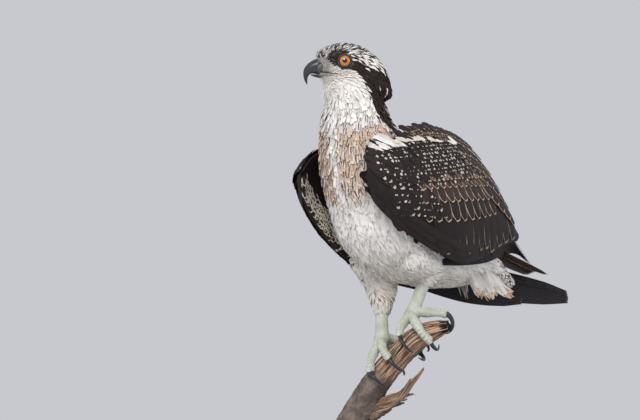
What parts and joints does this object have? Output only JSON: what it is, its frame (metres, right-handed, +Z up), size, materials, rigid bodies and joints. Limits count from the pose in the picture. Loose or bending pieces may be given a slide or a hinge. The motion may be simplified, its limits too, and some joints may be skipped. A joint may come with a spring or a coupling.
{
  "type": "osprey model on a display perch",
  "caption": "Life-size still model of a young osprey gripping the broken end of a dead branch, held up by a rod on a plain flat base.",
  "frame": {"origin": "Centre of the underside of the stand's base, on the floor.", "axes": "+Z up, the longest way through the model; the bird's body faces -X, with its head turned to its right; its left side is towards -Y."},
  "size_m": [0.4604, 0.24, 0.5646],
  "materials": {
    "plumage_pale": "white and cream body feathers",
    "plumage_dark": "dark brown feathers with pale edges",
    "horn_bill": "smooth dark horn",
    "eye": "orange iris under a clear wet surface",
    "leg_scales": "pale grey-green scales",
    "horn_claw": "smooth black horn",
    "dead_wood": "weathered dry wood",
    "stand_paint": "plain dark satin paint"
  },
  "bodies": {
    "root": {"bill_lower": "horn_bill", "bill_upper": "horn_bill", "claw_left_1": "horn_claw", "claw_left_2": "horn_claw", "claw_left_3": "horn_claw", "claw_left_4": "horn_claw", "claw_right_1": "horn_claw", "claw_right_2": "horn_claw", "claw_right_3": "horn_claw", "claw_right_4": "horn_claw", "eye_left": "eye", "eye_right": "eye", "head": "plumage_pale", "neck": "plumage_pale", "perch": "dead_wood", "primaries_left": "plumage_dark", "primaries_right": "plumage_dark", "stand_base": "stand_paint", "stand_rod": "stand_paint", "tail": "plumage_dark", "tarsus_left": "leg_scales", "tarsus_right": "leg_scales", "thigh_left": "plumage_pale", "thigh_right": "plumage_pale", "toe_left_1": "leg_scales", "toe_left_2": "leg_scales", "toe_left_3": "leg_scales", "toe_left_4": "leg_scales", "toe_right_1": "leg_scales", "toe_right_2": "leg_scales", "toe_right_3": "leg_scales", "toe_right_4": "leg_scales", "torso": "plumage_pale", "wing_left": "plumage_dark", "wing_right": "plumage_dark"}
  },
  "joints": []
}
